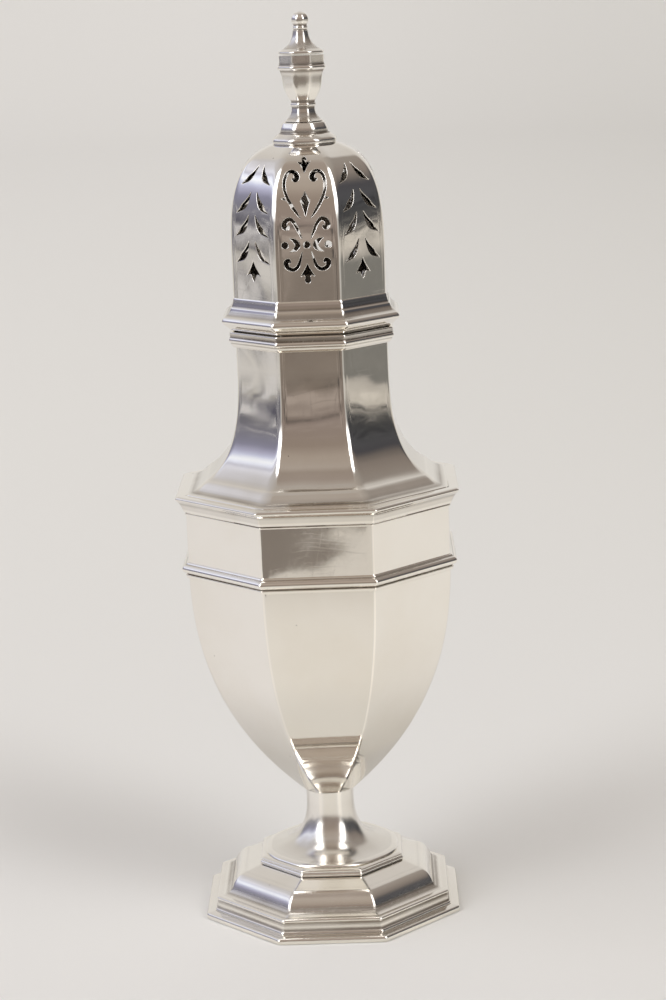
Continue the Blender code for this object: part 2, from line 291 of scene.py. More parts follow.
def mirrored_tones(nodes, where, colour):
    """Paper that the silver mirrors: dim at the sides, with painted shade under the object and
    painted light and shade in sectors round it, and darker towards the camera, where it ends in a
    ragged dark edge."""
    x, y, _ = nodes.split(where)
    azimuth = nodes.azimuth(x, y)
    # Painted light and shade in sectors round the object.
    for middle, width, tone in PAPER_SECTORS:
        colour = nodes.mix(nodes.band(azimuth, middle, width, SECTOR_SOFT), colour, tone)
    side = nodes.ramp(nodes.math("ABSOLUTE", x), 0.40, 0.64)
    colour = nodes.mix(side, colour, (0.55, 0.53, 0.50))
    reach = nodes.math("SQRT", nodes.math("ADD", nodes.times(x, x), nodes.times(y, y)))
    shade = nodes.ramp(reach, 0.085, 0.038, 0.0, 0.3)
    colour = nodes.mix(shade, colour, (0.52, 0.51, 0.47))
    colour = nodes.mix(nodes.ramp(y, -0.10, -0.36, 0.0, 0.32), colour, (0.42, 0.39, 0.35))
    slant = nodes.math("MAXIMUM", nodes.math("MINIMUM", x, 0.03), -0.05)
    ragged = nodes.times(nodes.noise(where, 9.0, detail=1.0), 0.07)
    edge = nodes.math("ADD", nodes.math("MULTIPLY_ADD", slant, 2.0, y), ragged)
    return nodes.mix(nodes.ramp(edge, -0.345, -0.357), colour, (0.205, 0.18, 0.155))


def paper_material(name, tones):
    """Matt white paper. Its tones come from camera_tones or mirrored_tones."""
    material, nodes, where = new_material(name)
    fibres = nodes.noise(where, 340.0, detail=3.0)
    mottle = nodes.noise(where, 7.0)
    colour = nodes.mix(mottle, (0.75, 0.742, 0.722), (0.775, 0.765, 0.745))
    bump = nodes.add("ShaderNodeBump", {
        "Strength": 0.15, "Distance": 0.0002, "Height": fibres}).outputs[0]
    nodes.show("ShaderNodeOutputMaterial", nodes.add("ShaderNodeBsdfPrincipled", {
        "Base Color": tones(nodes, where, colour), "Roughness": 0.8,
        "Specular IOR Level": 0.2, "Normal": bump}))
    return material


def grid(rows, width, closed=False):
    """Quads between rows of points; closed joins the end of each row to its start."""
    return [(r * width + i, r * width + (i + 1) % width,
             (r + 1) * width + (i + 1) % width, (r + 1) * width + i)
            for r in range(rows - 1) for i in range(width if closed else width - 1)]


def sweep(name, section, material):
    """Round stage piece from points of (radius, height) in metres."""
    spokes = 96
    spots = [(r * math.cos(2 * math.pi * i / spokes), r * math.sin(2 * math.pi * i / spokes), z)
             for r, z in section for i in range(spokes)]
    mesh = bpy.data.meshes.new(name)
    mesh.from_pydata(spots, [], grid(len(section), spokes, closed=True))
    mesh.shade_smooth()
    mesh.materials.append(material)
    piece = bpy.data.objects.new(name, mesh)
    bpy.context.scene.collection.objects.link(piece)
    return piece


PAPER_LEVEL = -0.0001       # metres: just under the foot
CURVE_START = 2.4
CURVE_R = 1.6


def make_floor():
    """White paper, swept up far behind the object. The paper that the silver mirrors is apart."""
    near = [(radius, PAPER_LEVEL) for radius in (0.0001, 0.1, 0.25, 0.65)]
    far = [(1.2, PAPER_LEVEL), (CURVE_START, PAPER_LEVEL)]
    far += [(CURVE_START + CURVE_R * math.sin(t), PAPER_LEVEL + CURVE_R * (1 - math.cos(t)))
            for t in np.linspace(0.1, math.pi / 2, 12)]
    far.append((CURVE_START + CURVE_R, 4.0))
    floor = sweep("floor", near + far, paper_material("paper", camera_tones))
    floor.visible_glossy = False
    floor.visible_diffuse = False
    floor.visible_shadow = False
    lower = [(radius, 3 * PAPER_LEVEL) for radius, _ in near]
    # The mirrored paper's tones are painted light and shade.
    mirrored_paper = sweep("mirrored_paper", lower,
                           paper_material("mirrored_paper_light_and_shade", mirrored_tones))
    mirrored_paper.visible_camera = False


LIGHT_AIM = Vector((0, 0, 0.08))
LIGHT_COLOUR = (1.0, 0.992, 0.955)


def area_light(name, place, power):
    """Large soft disk that lights the paper and the object, and shows in no reflection."""
    data = bpy.data.lights.new(name, "AREA")
    data.shape = "DISK"
    data.size = 1.7
    data.energy = power
    data.color = LIGHT_COLOUR
    light = bpy.data.objects.new(name, data)
    light.location = place
    light.rotation_mode = "QUATERNION"
    light.rotation_quaternion = (LIGHT_AIM - Vector(place)).to_track_quat("-Z", "Y")
    light.visible_glossy = False
    bpy.context.scene.collection.objects.link(light)


# Silver

# Dark of tarnished hollows, and painted shade over the dome's inside.
TARNISH_AND_SHADE = (0.16, 0.12, 0.085)
PIT = (0.22, 0.19, 0.16)
UNPOLISHED = (0.5, 0.46, 0.4)   # inner side of the sheets


def scratches(nodes, where):
    """Two sets of slightly curved hair scratches: 0 off them, 1 on one, 2 where two cross."""
    swirl = nodes.noise(where, 45.0, detail=1.0)
    shift = nodes.add("ShaderNodeCombineXYZ", {
        0: nodes.times(swirl, 0.02), 2: nodes.times(swirl, -0.014)}).outputs[0]
    swirled = nodes.add("ShaderNodeVectorMath", {0: where, 1: shift}, operation="ADD").outputs[0]
    depth = 0.0
    for turn, scale in (((0.5, 0.9, 0.3), (70.0, 70.0, 2400.0)),
                        ((1.3, 0.2, 1.1), (2100.0, 80.0, 80.0))):
        lines = nodes.noise(nodes.add("ShaderNodeMapping", {
            "Vector": swirled, "Rotation": turn, "Scale": scale}).outputs[0], 1.0)
        depth = nodes.math("ADD", nodes.ramp(lines, 0.60, 0.72), depth)
    return depth


def silver(name, tone, dull, tarnish_and_shade_level):
    """Sterling: fine wear and faint smears, a few pits, and tarnished hollows; the dome's inside,
    marked hollow all over, is darkened as painted shade.
    """
    material, nodes, where = new_material(name)
    hollow = nodes.add("ShaderNodeAttribute", attribute_name="hollow").outputs["Fac"]
    within = nodes.add("ShaderNodeAttribute", attribute_name="within").outputs["Fac"]
    cloud = nodes.noise(where, 55.0, detail=4.0, roughness=0.55)
    # Share of the dark: tarnishing in the hollows, painted shade over the dome's inside.
    tarnish_and_shade_share = nodes.times(hollow, nodes.ramp(cloud, 0.2, 0.7, 0.55, 1.0))
    cells = nodes.add("ShaderNodeTexVoronoi", {"Vector": where, "Scale": 230.0}).outputs
    pitted = nodes.times(nodes.ramp(cells["Distance"], 0.045, 0.02),
                         nodes.math("GREATER_THAN", cells["Color"], 0.62))
    colour = nodes.mix(nodes.ramp(cloud, 0.35, 0.75), tone, tuple(
        c * s for c, s in zip(tone, (0.965, 0.955, 0.935))))
    # Painted shade on the dome's inside, and tarnishing in the hollows.
    colour = nodes.mix(nodes.times(tarnish_and_shade_share, tarnish_and_shade_level), colour, TARNISH_AND_SHADE)
    colour = nodes.mix(nodes.times(pitted, 0.6), colour, PIT)
    colour = nodes.mix(within, colour, UNPOLISHED)

    smear = nodes.ramp(nodes.noise(where, 130.0, detail=5.0, roughness=0.7, distortion=0.6),
                       0.42, 0.78, 0.0, 0.05)
    speck = nodes.ramp(nodes.noise(where, 900.0), 0.55, 0.8, 0.0, 0.03)
    scratch = scratches(nodes, where)
    rough = nodes.math("ADD", smear, dull)
    rough = nodes.math("MULTIPLY_ADD", tarnish_and_shade_share, 0.22, rough)
    rough = nodes.math("ADD", rough, speck)
    rough = nodes.math("MULTIPLY_ADD", within, 0.25, rough)
    rough = nodes.math("MULTIPLY_ADD", scratch, 0.035, rough)
    ripple = nodes.noise(where, 260.0)
    height = nodes.math("SUBTRACT", ripple, nodes.times(scratch, 0.05))
    bump = nodes.add("ShaderNodeBump", {
        "Strength": 0.08, "Distance": 0.00006, "Height": height}).outputs[0]
    nodes.show("ShaderNodeOutputMaterial", nodes.add("ShaderNodeBsdfPrincipled", {
        "Base Color": colour, "Metallic": nodes.math("MULTIPLY_ADD", within, -0.5, 1.0),
        "Roughness": rough, "Normal": bump}))
    return material


# Profiles

def bezier(start, pull, push, end, steps):
    """Points of a cubic curve from start to end, both ends included."""
    points = []
    for step in range(steps + 1):
        t = step / steps
        weights = ((1 - t) ** 3, 3 * t * (1 - t) ** 2, 3 * t * t * (1 - t), t ** 3)
        corners = (start, pull, push, end)
        points.append(tuple(sum(w * p[i] for w, p in zip(weights, corners)) for i in (0, 1)))
    return points


def rounded(points, closed, fillet=0.0, steps=4):
    """Outline with its corners rounded; a point's third value is its own fillet."""
    count = len(points)
    result = []
    for index, point in enumerate(points):
        here = np.array(point[:2])
        reach = point[2] if len(point) > 2 else fillet
        if reach <= 0 or (not closed and index in (0, count - 1)):
            result.append(here)
            continue
        back = np.array(points[index - 1][:2]) - here
        on = np.array(points[(index + 1) % count][:2]) - here
        reach = min(reach, 0.48 * np.linalg.norm(back), 0.48 * np.linalg.norm(on))
        first = here + back / np.linalg.norm(back) * reach
        last = here + on / np.linalg.norm(on) * reach
        for step in range(steps + 1):
            t = step / steps
            result.append(first * (1 - t) ** 2 + 2 * here * t * (1 - t) + last * t * t)
    return np.array(result)


def softened(points, closed):
    """Section as an array of (distance of the flats, height), with its corners rounded."""
    return rounded([(p[0] * TO_FLAT, *p[1:]) for p in points], closed)


def divided(points, closed, longest):
    """The outline with long runs cut into steps no longer than this."""
    ends = np.roll(points, -1, axis=0) if closed else points[1:]
    result = []
    for start, end in zip(points, ends):
        cuts = max(1, math.ceil(np.linalg.norm(end - start) / longest))
        result += [start + (end - start) * i / cuts for i in range(cuts)]
    if not closed:
        result.append(points[-1])
    return np.array(result)


def outward(points, closed):
    """Unit normals of the outline, which runs up its outer side."""
    before = np.roll(points, 1, axis=0)
    after = np.roll(points, -1, axis=0)
    if not closed:
        before[0], after[-1] = points[0], points[-1]
    along = after - before
    normal = np.stack([along[:, 1], -along[:, 0]], 1)
    return normal / np.maximum(np.linalg.norm(normal, axis=1, keepdims=True), 1e-9)


HOLLOW_REACH = 0.55         # how far to each side a hollow is looked for
HOLLOW_DEPTH = 0.10         # depth of a full hollow


def hollows(points, closed):
    """How deep each point sits in a hollow of the outline, 0 to 1."""
    steps = np.linalg.norm(np.diff(points, axis=0), axis=1)
    place = np.concatenate([[0.0], np.cumsum(steps)])
    total = place[-1] + (np.linalg.norm(points[0] - points[-1]) if closed else 0.0)
    line = np.vstack([points, points[:1]]) if closed else points
    place = np.append(place, total) if closed else place

    def at(spots):
        spots = np.mod(spots, total) if closed else np.clip(spots, 0.0, total)
        return np.stack([np.interp(spots, place, line[:, 0]),
                         np.interp(spots, place, line[:, 1])], 1)

    here = place[:len(points)]
    bow = (at(here - HOLLOW_REACH) + at(here + HOLLOW_REACH)) / 2 - points
    return np.clip((bow * outward(points, closed)).sum(1) / HOLLOW_DEPTH, 0.0, 1.0)


def thinned(outer, sheet):
    """Section of a sheet from the outline of its outside, with a square edge at each end."""
    normal = outward(outer, closed=False)
    return np.vstack([outer, (outer - normal * sheet)[::-1]])


# Meshes

SHARP_ANGLE = math.radians(38.0)
POLE = 0.02                 # a ring smaller than this is a single point


def unevenness(x, y, z, depth):
    """Hand work: the slow waves and the fine ripple of a raised and polished sheet."""
    slow = noise.noise(Vector((x, y, z)) / 17.0 + Vector((3.1, 7.7, 1.9)))
    fine = noise.noise(Vector((x, y, z)) / 5.5 + Vector((9.2, 0.4, 5.3)))
    return depth * (slow + 0.16 * fine)


def make_mesh(name, verts, faces, hollow, within):
    """Mesh in metres from points in millimetres. Hollow is how far each point is darkened, 0 to 1:
    tarnished hollows, and painted shade on the dome's inside. Within is one on the unpolished inner
    side of a sheet."""
    mesh = bpy.data.meshes.new(name)
    mesh.from_pydata((np.asarray(verts) * MM).tolist(), [], faces)
    for key, values in (("hollow", hollow), ("within", within)):
        attribute = mesh.attributes.new(key, "FLOAT", "POINT")
        attribute.data.foreach_set("value", np.asarray(values, np.float32))
    return mesh


def make_piece(mesh, node, body, material):
    """Object that stands for a CAD node and rides on its body."""
    mesh.shade_smooth()
    mesh.set_sharp_from_angle(angle=SHARP_ANGLE)
    mesh.materials.append(material)
    piece = bpy.data.objects.new(mesh.name, mesh)
    bpy.context.scene.collection.objects.link(piece)
    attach(piece, body)
    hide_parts(node)


def ring(flat, corner, flat_steps, arc_steps):
    """Points of a rounded octagon, and the outward direction at each."""
    corner = min(corner, flat * 0.98)
    side = (flat - corner) * TAN_HALF
    middle = (flat - corner) / TO_FLAT
    points, directions = [], []
    for index in range(SIDES):
        angle = index * 2 * HALF_STEP - math.pi / 2
        out = np.array((math.cos(angle), math.sin(angle)))
        along = np.array((-out[1], out[0]))
        for step in range(flat_steps):
            points.append(out * flat + along * side * (2 * step / flat_steps - 1))
            directions.append(out)
        centre_angle = angle + HALF_STEP
        centre = middle * np.array((math.cos(centre_angle), math.sin(centre_angle)))
        for step in range(arc_steps):
            turn = angle + 2 * HALF_STEP * step / arc_steps
            away = np.array((math.cos(turn), math.sin(turn)))
            points.append(centre + corner * away)
            directions.append(away)
    return np.array(points), np.array(directions)


def loft(section, closed, corner, flat_steps, arc_steps, wave):
    """A section carried round the octagon: vertices, faces, and each vertex's section point."""
    normals = outward(section, closed)
    per_ring = SIDES * (flat_steps + arc_steps)
    verts, origins = [], []
    for index, ((flat, height), normal) in enumerate(zip(section, normals)):
        if flat < POLE:
            verts.append((0.0, 0.0, height))
            origins.append(index)
            continue
        points, directions = ring(flat, corner(flat), flat_steps, arc_steps)
        for (x, y), (dx, dy) in zip(points, directions):
            lift = unevenness(x, y, height, wave) if wave else 0.0
            verts.append((x + dx * normal[0] * lift, y + dy * normal[0] * lift,
                          height + normal[1] * lift))
            origins.append(index)
    starts, count = [], 0
    for flat, _ in section:
        starts.append((count, flat < POLE))
        count += 1 if flat < POLE else per_ring
    pairs = list(zip(starts, starts[1:]))
    if closed:
        pairs.append((starts[-1], starts[0]))
    faces = []
    for (low, low_pole), (high, high_pole) in pairs:
        for i in range(per_ring):
            j = (i + 1) % per_ring
            if low_pole and high_pole:
                continue
            if low_pole:
                faces.append((low, high + j, high + i))
            elif high_pole:
                faces.append((low + i, low + j, high))
            else:
                faces.append((low + i, low + j, high + j, high + i))
    return verts, faces, origins


def turned(name, node, body, slot, material, points, closed=True, corner=1.0, longest=1.0,
           flat_steps=14, arc_steps=7, wave=0.0, sheet=0.0):
    """Piece with one section all round. Given a sheet, points are its outside from one end."""
    outside = divided(softened(points, closed and not sheet), closed and not sheet, longest)
    section = thinned(outside, sheet) if sheet else outside
    radius = corner if callable(corner) else (lambda flat: min(corner, 0.45 * flat))
    verts, faces, origins = loft(section, closed, radius, flat_steps, arc_steps, wave)
    within = np.arange(len(section)) >= len(outside)
    mesh = make_mesh(name, verts, faces, hollows(section, closed)[origins], within[origins])
    make_piece(mesh, node, body, material)


# Foot and stem

def foot(material):
    options = {"body": "body", "slot": "foot_silver", "material": material}
    low, top, radius = span("foot_rim")
    inside = 25.2           # of the two wires under the foot
    turned("foot_rim_piece", "foot_rim", points=[
        (inside, low, 0.1), (radius - 0.1, low, 0.12), (radius, low + 0.7, 0.3),
        (radius - 0.25, top - 0.1, 0.3), (radius - 1.9, top + 0.12, 0.1), (inside, top + 0.12)],
        corner=1.1, longest=1.6, **options)
    low, top, _ = span("foot_band")
    turned("foot_band_piece", "foot_band", points=[
        (inside, low - 0.15), (27.45, low - 0.15, 0.1), (27.3, low + 0.3, 0.15),
        (26.95, low + 0.45, 0.15), (26.85, low + 1.0, 0.4), (26.7, low + 2.1, 0.4),
        (26.9, low + 2.35, 0.1), (26.9, top - 0.15, 0.2), (26.5, top + 0.05, 0.2),
        (inside, top + 0.05)],
        corner=1.2, longest=0.8, wave=0.03, **options)
    low, top, _ = span("foot_slope")
    slope = [(26.3, low - 0.25, 0.0), (25.2, low + 0.1, 0.5), (24.3, low + 0.35, 0.7)]
    slope += bezier((23.5, low + 1.0), (23.0, low + 2.5), (21.9, low + 4.1), (20.2, low + 4.4),
                    12)
    slope += [(16.8, top - 0.1, 0.1), (13.6, top)]
    turned("foot_slope_piece", "foot_slope", points=slope, sheet=SHEET, corner=1.35,
           longest=0.7, wave=0.05, flat_steps=24, **options)
    low, top, radius = span("foot_step")
    turned("foot_step_piece", "foot_step", points=[
        (13.6, low - 0.25), (radius, low - 0.25, 0.12), (radius + 0.1, low + 0.3, 0.25),
        (radius - 0.25, low + 0.6, 0.15), (radius - 0.2, top - 0.1, 0.3),
        (radius - 0.9, top + 0.2, 0.2), (13.6, top + 0.25)],
        corner=1.0, longest=0.8, **options)


def stem(material):
    low, top, _ = span("stem")
    neck = 5.5
    outer = [(15.5, low + 0.1), (15.3, low + 0.35, 0.3)]
    outer += bezier((14.6, low + 0.55), (8.4, low + 0.9), (neck, low + 4.7),
                    (neck, low + 10.7), 26)
    outer.append((neck, top + 0.1))
    turned("stem_piece", "stem", "body", "foot_silver", material, outer, sheet=SHEET,
           corner=lambda flat: 0.76 * flat, longest=0.6, flat_steps=8, arc_steps=10,
           wave=0.13)


# Body

def bowl(material):
    low, top, radius = span("bowl_shell")
    girdle_foot = span("girdle_moulding")[0]
    outer = bezier((5.7, low), (18.0, low + 11.1), (29.0, low + 25.6), (radius, girdle_foot), 60)
    outer.append((radius, top))
    turned("bowl_piece", "bowl_shell", "body", "body_silver", material, outer, sheet=SHEET,
           corner=lambda flat: 0.8 + 0.03 * flat, longest=0.9, flat_steps=26, arc_steps=8,
           wave=0.09)


def body_wall(material):
    options = {"body": "body", "slot": "body_silver", "material": material}
    low, top, radius = span("frieze_wall")
    turned("frieze_piece", "frieze_wall", points=[(radius, low), (radius, top)], sheet=SHEET,
           corner=1.6, longest=0.9, flat_steps=26, wave=0.12, **options)
    low, top, radius = span("girdle_moulding")
    seat = radius - 1.55
    turned("girdle_piece", "girdle_moulding", points=[
        (seat, low), (seat + 0.05, low + 0.25), (seat + 0.5, low + 0.3, 0.1),
        (seat + 0.75, low + 1.0, 0.2), (seat + 0.25, low + 1.1), (seat + 0.25, low + 1.25),
        (seat + 0.8, low + 1.35, 0.15), (radius - 0.15, low + 1.7, 0.35),
        (radius, low + 2.35, 0.5), (radius - 0.45, low + 2.95, 0.4),
        (radius - 1.0, low + 3.2, 0.15), (radius - 1.15, top - 0.1, 0.15), (seat, top)],
        corner=1.1, longest=0.8, flat_steps=20, wave=0.02, **options)
    low, top, radius = span("shoulder_moulding")
    seat = radius - 2.35
    lip = radius - 0.04     # room for the unevenness
    turned("shoulder_piece", "shoulder_moulding", points=[
        (seat, low), (seat + 0.3, low, 0.08), (seat + 0.35, low + 0.3, 0.08),
        (seat + 0.05, low + 0.36), (seat + 0.05, low + 0.54), (seat + 0.55, low + 0.6, 0.08),
        (seat + 0.9, low + 1.5, 0.8), (seat + 1.5, low + 2.5, 0.6),
        (lip - 0.35, low + 2.95, 0.25), (lip, low + 3.35, 0.25), (lip, top - 0.4, 0.3),
        (radius - 0.5, top, 0.4), (seat, top)],
        corner=1.2, longest=0.8, flat_steps=20, wave=0.03, **options)


def neck(material):
    options = {"body": "body", "slot": "body_silver", "material": material}
    low, top, radius = span("neck_shell")
    shelf = low + SHEET
    throat = 16.9
    outer = [(radius, shelf, 0.0), (29.4, shelf + 0.02, 0.1), (29.2, shelf + 0.25, 0.2),
             (27.9, shelf + 0.35, 0.5), (27.2, shelf + 0.7, 1.2)]
    outer += bezier((25.1, shelf + 2.4), (19.6, shelf + 5.6), (throat + 0.1, shelf + 11.0),
                    (throat, shelf + 25.0), 44)
    outer.append((throat, top))
    turned("neck_piece", "neck_shell", points=outer, sheet=SHEET,
           corner=lambda flat: 1.5 + 0.06 * flat, longest=0.8, flat_steps=26, arc_steps=9,
           wave=0.17, **options)
    low, top, radius = span("neck_collar")
    seat = throat + 0.05
    turned("collar_piece", "neck_collar", points=[
        (seat, low), (17.4, low, 0.1), (17.9, low + 0.5, 0.3), (18.05, low + 1.0, 0.1),
        (radius, low + 1.25, 0.2), (radius, low + 1.75, 0.25), (18.1, low + 2.15, 0.15),
        (18.2, top - 0.2, 0.2), (17.9, top, 0.2), (seat, top)],
        corner=1.2, longest=0.8, flat_steps=18, wave=0.015, **options)


# Cover

DOME_R = 17.0
DOME_SPRING = 140.0     # where the dome starts to curve in
DOME_RISE = 23.9
DOME_POWER = 3.2
DOME_LAP = 0.3          # closes the gap that the CAD leaves above the rim
DOME_CORNER = 2.8       # rounding of the arrises
DOME_WAVE = 0.2
DOME_ROW = 0.8          # longest step of the mesh up the dome
DOME_FLAT_STEPS = 18
DOME_ARC_STEPS = 8
CROWN_R = 7.4
PIN_HOLE_R = 1.6
MERGED = 1e-6           # metres within which the dome's points are one
EDGE = 0.09             # rounding of a pierced hole's edge
COLLAR = 1.9 * EDGE     # second outline round each hole, out from the drawn one
NET = 0.85              # spacing of the mesh between the holes
NET_INSET = 0.55 * NET  # from a panel's side to the nearest of its points
NET_CLEAR = 0.42 * NET  # least distance from a point to any outline


def cover_base(material, inner_material):
    low, top, radius = span("cover_bezel")
    turned("bezel_piece", "cover_bezel", "cover", "inner_silver", inner_material, [
        (radius - 0.35, low, 0.2), (radius, low + 0.9, 0.3), (radius, top, 0.1),
        (radius - 0.75, top, 0.1), (radius - 0.75, low, 0.1)],
        corner=1.0, longest=1.0, wave=0.02)
    low, top, radius = span("cover_rim")
    seat = 15.95
    turned("cover_rim_piece", "cover_rim", "cover", "cover_silver", material, [
        (seat, low), (17.9, low, 0.1), (18.3, low + 0.35, 0.3), (19.3, low + 1.2, 0.5),
        (19.75, low + 1.6, 0.25), (radius, low + 2.0, 0.35), (19.5, low + 2.6, 0.3),
        (18.5, low + 3.2, 0.5), (17.95, low + 3.9, 0.5), (17.75, low + 4.55, 0.2),
        (17.45, low + 4.8, 0.25), (17.2, low + 5.6, 0.5), (17.1, top - 0.3, 0.25),
        (16.9, top + 0.05, 0.1), (seat, top + 0.05)],
        corner=1.4, longest=0.8, flat_steps=18, wave=0.03)


# Each hole is drawn on its panel: x from the middle line, then the height. A third number is
# a stroke's half width, or the small rounding of an outline's sharp tip.

TIP = 0.05
FLEUR = [(0.0, 161.75, TIP), (0.42, 161.4), (0.5, 161.0), (0.3, 160.7), (1.3, 160.8, TIP),
         (0.7, 160.05), (0.4, 159.5), (0.0, 158.6, TIP)]
DIAMOND = [(0.0, 155.05, TIP), (0.42, 154.2), (0.95, 153.35, 0.2), (0.45, 151.8),
           (0.0, 150.1, TIP)]
SCROLL_SPADE = [(0.0, 140.65, TIP), (0.5, 139.6), (1.42, 138.15, TIP), (0.7, 138.4),
                (0.4, 138.05), (0.64, 137.45), (0.4, 136.8), (0.0, 136.75)]
LEAF_SPADE = [(0.0, 141.05, TIP), (0.6, 139.8), (2.0, 138.05, TIP), (0.8, 138.45),
              (0.45, 137.5), (0.0, 136.85, TIP)]
BARB = [(4.05, 154.0, TIP), (4.8, 153.75, TIP), (3.9, 153.3, TIP), (4.1, 153.65)]
LYRE = [(2.4, 157.5, 0.15), (1.85, 157.25, 0.4), (1.5, 157.85, 0.5), (1.85, 158.65, 0.42),
        (2.7, 158.95, 0.33), (3.55, 158.4, 0.28), (4.05, 157.1, 0.26), (4.05, 155.5, 0.25),
        (3.6, 154.0, 0.25), (3.0, 152.8, 0.27), (2.1, 151.3, 0.25), (1.1, 149.85, 0.06)]
MIDDLE_SCROLL = [(3.4, 148.3, 0.12), (3.8, 147.8, 0.38), (4.35, 148.25, 0.48),
                 (4.1, 149.2, 0.42), (3.2, 149.65, 0.36), (2.35, 148.9, 0.3),
                 (1.65, 147.5, 0.26), (0.95, 145.8, 0.06)]
CRESCENT = [(3.3, 145.8, 0.05), (2.4, 145.35, 0.34), (1.8, 144.45, 0.5), (2.4, 143.55, 0.34),
            (3.3, 143.1, 0.05)]
BOTTOM_SCROLL = [(3.4, 140.9, 0.12), (3.75, 141.4, 0.38), (4.3, 140.95, 0.46),
                 (3.9, 139.95, 0.4), (2.9, 139.5, 0.36), (1.95, 140.1, 0.3),
                 (1.4, 141.4, 0.22), (0.95, 143.0, 0.06)]
# A leaf from its tip by the stem to its outer tip, measured from the tip by the stem.
LEAF = [(0.0, 0.0, 0.05), (0.5, -1.2, 0.32), (1.2, -2.3, 0.6), (2.0, -3.1, 0.64),
        (2.9, -3.75, 0.3), (3.9, -4.3, 0.04)]
LEAF_TIPS = [(0.95, 144.9, 1.0), (0.95, 150.2, 0.98), (0.9, 154.75, 0.95), (0.75, 160.0, 0.85)]


def flowing(path, steps=5):
    """Smooth curve through every point of a stroke, its half width included."""
    points = np.array(path)
    points = np.vstack([2 * points[0] - points[1], points, 2 * points[-1] - points[-2]])
    result = []
    for p0, p1, p2, p3 in zip(points, points[1:], points[2:], points[3:]):
        for t in np.arange(steps) / steps:
            result.append(0.5 * (2 * p1 + (p2 - p0) * t + (2 * p0 - 5 * p1 + 4 * p2 - p3) * t ** 2
                                 + (3 * p1 - p0 - 3 * p2 + p3) * t ** 3))
    return np.array(result + [points[-2]])


def stroke(path):
    """Outline of a sawn line whose width changes, with round ends."""
    points = flowing(path)
    along = np.gradient(points[:, :2], axis=0)
    along /= np.linalg.norm(along, axis=1, keepdims=True)
    across = np.stack([along[:, 1], -along[:, 0]], 1)
    width = np.maximum(points[:, 2:], 0.04)
    right, left = points[:, :2] + across * width, points[:, :2] - across * width
    end = points[-1, :2] + along[-1] * width[-1]
    start = points[0, :2] - along[0] * width[0]
    return np.vstack([right, end, left[::-1], start])


def dot(x, height, radius, corners=20):
    angles = np.arange(corners) * 2 * math.pi / corners
    return np.stack([x + radius * np.cos(angles), height + radius * np.sin(angles)], 1)


def mirrored(half):
    """Whole outline from its right half, which runs from the top of the middle line down."""
    left = [(-point[0], *point[1:]) for point in reversed(half) if point[0] > 0]
    return rounded(half + left, closed=True, fillet=9.0, steps=3)


def both_sides(outlines):
    return outlines + [outline[::-1] * (-1, 1) for outline in outlines]


def scroll_panel():
    return [mirrored(FLEUR), mirrored(DIAMOND), dot(0.0, 144.45, 0.7),
            mirrored(SCROLL_SPADE)] + both_sides([
                stroke(LYRE), rounded(BARB, closed=True, fillet=9.0, steps=2),
                stroke(MIDDLE_SCROLL), stroke(CRESCENT), dot(4.35, 144.45, 0.7),
                stroke(BOTTOM_SCROLL)])


def leaf_panel():
    """Four pairs of leaves over a spade."""
    return [mirrored(LEAF_SPADE)] + both_sides([
        stroke([(x + u * size, z + v * size, w * size) for u, v, w in LEAF])
        for x, z, size in LEAF_TIPS])


def runs_anticlockwise(outline):
    x, y = outline[:, 0], outline[:, 1]
    return (x * np.roll(y, -1) - np.roll(x, -1) * y).sum() > 0


class DomeSkin:
    """The dome's outside: where a point of a panel, drawn flat, lies on it."""

    def __init__(self, foot, crown):
        heights = [foot, DOME_SPRING]
        heights += list(crown - (crown - DOME_SPRING) * np.cos(np.linspace(0, math.pi / 2, 60))[1:])
        profile = np.array([(self.radius(z) * TO_FLAT, z) for z in heights])
        profile[-1] = (CROWN_R * TO_FLAT, crown)
        self.profile = divided(profile, False, 0.3)
        lengths = np.linalg.norm(np.diff(self.profile, axis=0), axis=1)
        self.place = np.concatenate([[0.0], np.cumsum(lengths)])
        self.normal = outward(self.profile, closed=False)
        self.normal[0] = (1.0, 0.0)

    @staticmethod
    def radius(height):
        rise = max(height - DOME_SPRING, 0.0) / DOME_RISE
        return DOME_R * max(1 - rise ** DOME_POWER, 0.0) ** (1 / DOME_POWER)

    def along(self, height):
        """Distance up the dome's profile to a height."""
        return np.interp(height, self.profile[:, 1], self.place)

    def at(self, place):
        """Flat distance, height and normal at a distance up the profile."""
        return [np.interp(place, self.place, column)
                for column in (*self.profile.T, *self.normal.T)]

    def side(self, place):
        """Half width of the flat part of a panel."""
        return (self.at(place)[0] - DOME_CORNER) * TAN_HALF

    def places(self, points, angle, depth, turn=0.0):
        """Points (across, up the profile) of the panel at an angle, set in by a depth, as places.
        In an arris, turn is how far round it each point is."""
        flat, height, out, up = self.at(points[:, 1])
        turn = np.broadcast_to(turn, len(points))
        c, s = math.cos(angle), math.sin(angle)
        result = []
        for x, a, z, n_out, n_up, t in zip(points[:, 0], flat, height, out, up, turn):
            reach = a - DOME_CORNER + DOME_CORNER * math.cos(t)
            shift = x + DOME_CORNER * math.sin(t)
            px, py = reach * c - shift * s, reach * s + shift * c
            lift = unevenness(px, py, z, DOME_WAVE) - depth
            result.append((px + math.cos(angle + t) * n_out * lift,
                           py + math.sin(angle + t) * n_out * lift, z + n_up * lift))
        return result


